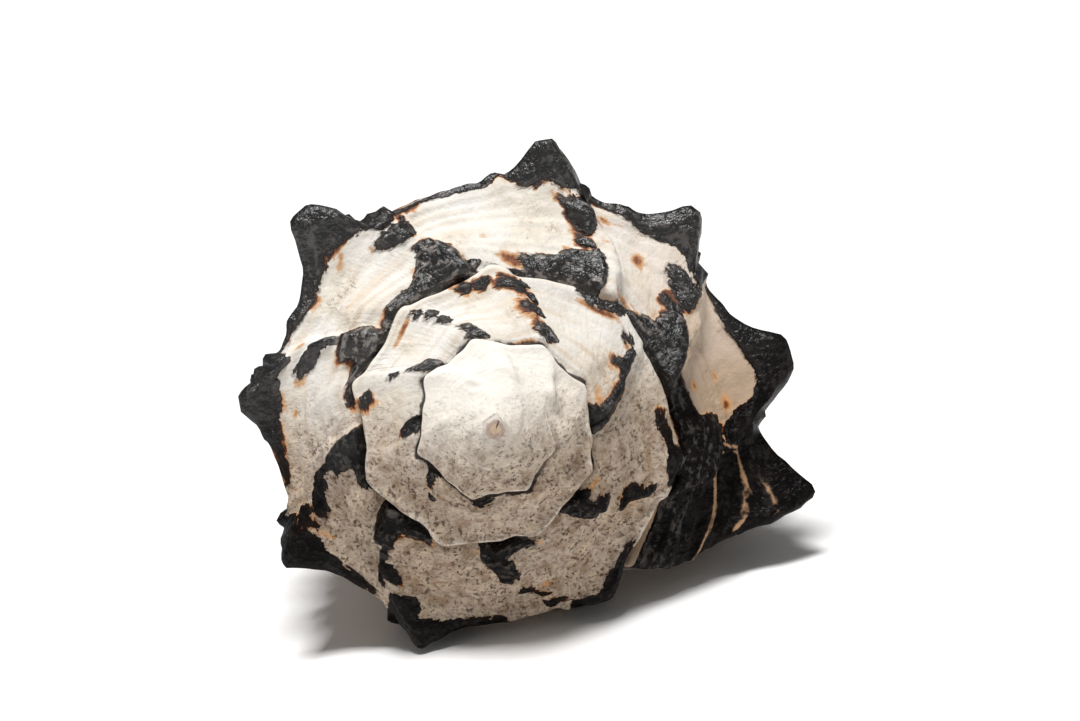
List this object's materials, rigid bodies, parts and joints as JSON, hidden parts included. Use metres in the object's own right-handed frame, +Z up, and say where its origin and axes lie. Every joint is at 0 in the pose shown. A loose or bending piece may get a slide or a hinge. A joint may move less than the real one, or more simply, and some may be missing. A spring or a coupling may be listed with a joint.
{
  "type": "murex shell",
  "caption": "Large spiny murex sea shell lying on its aperture: coiled spire, varices with blunt black spines, hollow aperture and open siphonal canal.",
  "frame": {"origin": "centre of the bounding box at the ground, under the lying shell", "axes": "+Z up, -Y towards the tip of the spire, +Y towards the end of the canal, +X towards the outer lip"},
  "size_m": [0.0838, 0.1052, 0.0682],
  "materials": {
    "worn_shell": "chalky cream shell with rough, slightly glossy black varices and burnt-orange fringes"
  },
  "bodies": {
    "root": {"shell": "worn_shell"}
  },
  "joints": []
}
